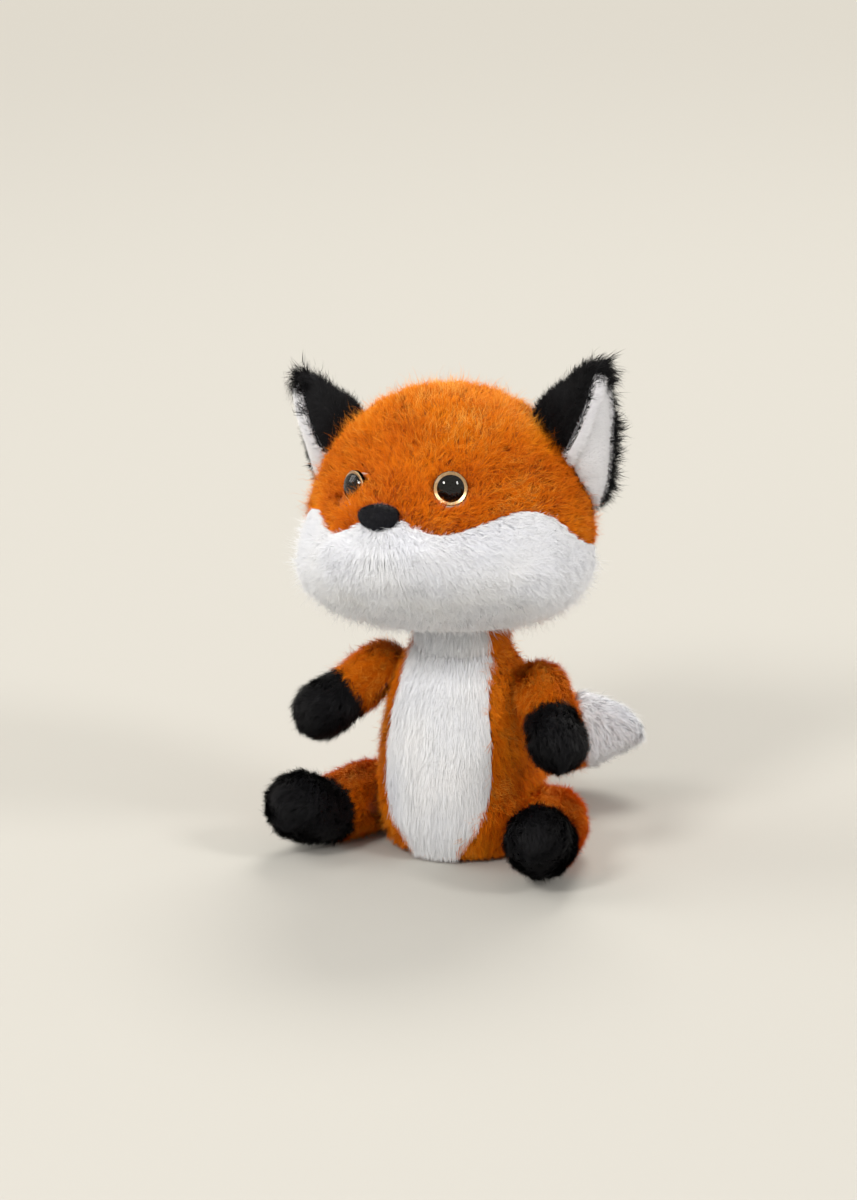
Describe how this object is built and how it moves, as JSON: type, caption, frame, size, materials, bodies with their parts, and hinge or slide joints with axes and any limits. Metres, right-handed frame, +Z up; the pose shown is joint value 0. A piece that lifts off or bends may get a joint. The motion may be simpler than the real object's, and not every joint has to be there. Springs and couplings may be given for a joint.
{
  "type": "plush fox",
  "caption": "Seated stuffed fox toy with a wide white muzzle, black-backed ears, jointed head, arms and legs, and a curled tail.",
  "frame": {"origin": "centre of the flat seat that the fox rests on", "axes": "+Z up, -Y the way the fox's body faces, +X the fox's left"},
  "size_m": [0.1692, 0.2017, 0.242],
  "materials": {
    "back_cover": "long orange pile",
    "belly_panel": "long white pile",
    "seat_panel": "long orange pile",
    "torso_filling": "loose polyester fibre",
    "pellet_pouch": "plain woven pouch filled with pellets",
    "neck_cover": "long orange pile",
    "neck_front": "long white pile",
    "neck_filling": "firm polyester fibre",
    "crown_cover": "long orange pile",
    "muzzle_panel": "long white pile",
    "head_filling": "loose polyester fibre",
    "nose_pad": "short black plush",
    "left_eye_lens": "clear, gold and black printed underneath",
    "left_eye_button": "moulded black",
    "left_eye_washer": "moulded white",
    "right_eye_lens": "clear, gold and black printed underneath",
    "right_eye_button": "moulded black",
    "right_eye_washer": "moulded white",
    "left_ear_back": "spiky black pile",
    "left_ear_lining": "short white plush",
    "right_ear_back": "spiky black pile",
    "right_ear_lining": "short white plush",
    "left_arm_sleeve": "long orange pile",
    "left_arm_paw": "black pile",
    "left_arm_filling": "loose polyester fibre",
    "right_arm_sleeve": "long orange pile",
    "right_arm_paw": "black pile",
    "right_arm_filling": "loose polyester fibre",
    "left_leg_cover": "long orange pile",
    "left_leg_paw": "black pile",
    "left_leg_filling": "loose polyester fibre",
    "right_leg_cover": "long orange pile",
    "right_leg_paw": "black pile",
    "right_leg_filling": "loose polyester fibre",
    "tail_cover": "long orange pile",
    "tail_tip": "long white pile",
    "tail_filling": "loose polyester fibre"
  },
  "bodies": {
    "torso": {"back_cover": "back_cover", "belly_panel": "belly_panel", "seat_panel": "seat_panel", "torso_filling": "torso_filling", "pellet_pouch": "pellet_pouch"},
    "neck": {"neck_cover": "neck_cover", "neck_front": "neck_front", "neck_filling": "neck_filling"},
    "head": {"crown_cover": "crown_cover", "muzzle_panel": "muzzle_panel", "head_filling": "head_filling", "nose_pad": "nose_pad", "left_eye_lens": "left_eye_lens", "left_eye_button": "left_eye_button", "left_eye_washer": "left_eye_washer", "right_eye_lens": "right_eye_lens", "right_eye_button": "right_eye_button", "right_eye_washer": "right_eye_washer"},
    "left_ear": {"left_ear_back": "left_ear_back", "left_ear_lining": "left_ear_lining"},
    "right_ear": {"right_ear_back": "right_ear_back", "right_ear_lining": "right_ear_lining"},
    "left_arm": {"left_arm_sleeve": "left_arm_sleeve", "left_arm_paw": "left_arm_paw", "left_arm_filling": "left_arm_filling"},
    "right_arm": {"right_arm_sleeve": "right_arm_sleeve", "right_arm_paw": "right_arm_paw", "right_arm_filling": "right_arm_filling"},
    "left_leg": {"left_leg_cover": "left_leg_cover", "left_leg_paw": "left_leg_paw", "left_leg_filling": "left_leg_filling"},
    "right_leg": {"right_leg_cover": "right_leg_cover", "right_leg_paw": "right_leg_paw", "right_leg_filling": "right_leg_filling"},
    "tail": {"tail_cover": "tail_cover", "tail_tip": "tail_tip", "tail_filling": "tail_filling"}
  },
  "joints": [
    {"name": "head_turn", "type": "hinge", "parent": "torso", "child": "neck", "pos_m": [0, 0, 0.108], "axis": [0, 0, 1], "range_deg": [-35, 35], "stiffness_Nm_per_rad": 0.3},
    {"name": "head_nod", "type": "hinge", "parent": "neck", "child": "head", "pos_m": [0, 0, 0.108], "axis": [1, 0, 0], "range_deg": [-15, 12], "stiffness_Nm_per_rad": 0.8},
    {"name": "left_ear_sway", "type": "hinge", "parent": "head", "child": "left_ear", "pos_m": [0.04797, 0.01059, 0.19456], "axis": [0.5213, 0.1431, -0.8413], "range_deg": [-10, 10], "stiffness_Nm_per_rad": 0.02},
    {"name": "right_ear_sway", "type": "hinge", "parent": "head", "child": "right_ear", "pos_m": [-0.06491, 0.01059, 0.18269], "axis": [-0.335, 0.1431, -0.9313], "range_deg": [-10, 10], "stiffness_Nm_per_rad": 0.02},
    {"name": "left_arm_swing", "type": "hinge", "parent": "torso", "child": "left_arm", "pos_m": [0.0331, 0, 0.08], "axis": [-0.9135, 0, -0.4067], "range_deg": [-12, 45], "stiffness_Nm_per_rad": 0.08},
    {"name": "right_arm_swing", "type": "hinge", "parent": "torso", "child": "right_arm", "pos_m": [-0.0331, 0, 0.08], "axis": [-0.9135, 0, 0.4067], "range_deg": [-12, 45], "stiffness_Nm_per_rad": 0.08},
    {"name": "left_leg_swing", "type": "hinge", "parent": "torso", "child": "left_leg", "pos_m": [0.03809, 0.002, 0.0171], "axis": [-0.9903, 0, 0.1392], "range_deg": [0, 13], "stiffness_Nm_per_rad": 0.15},
    {"name": "right_leg_swing", "type": "hinge", "parent": "torso", "child": "right_leg", "pos_m": [-0.03809, 0.002, 0.0171], "axis": [-0.9903, 0, -0.1392], "range_deg": [0, 13], "stiffness_Nm_per_rad": 0.15},
    {"name": "tail_wag", "type": "hinge", "parent": "torso", "child": "tail", "pos_m": [0, 0.038, 0.02], "axis": [0, 0, 1], "range_deg": [-18, 18], "stiffness_Nm_per_rad": 0.1}
  ]
}
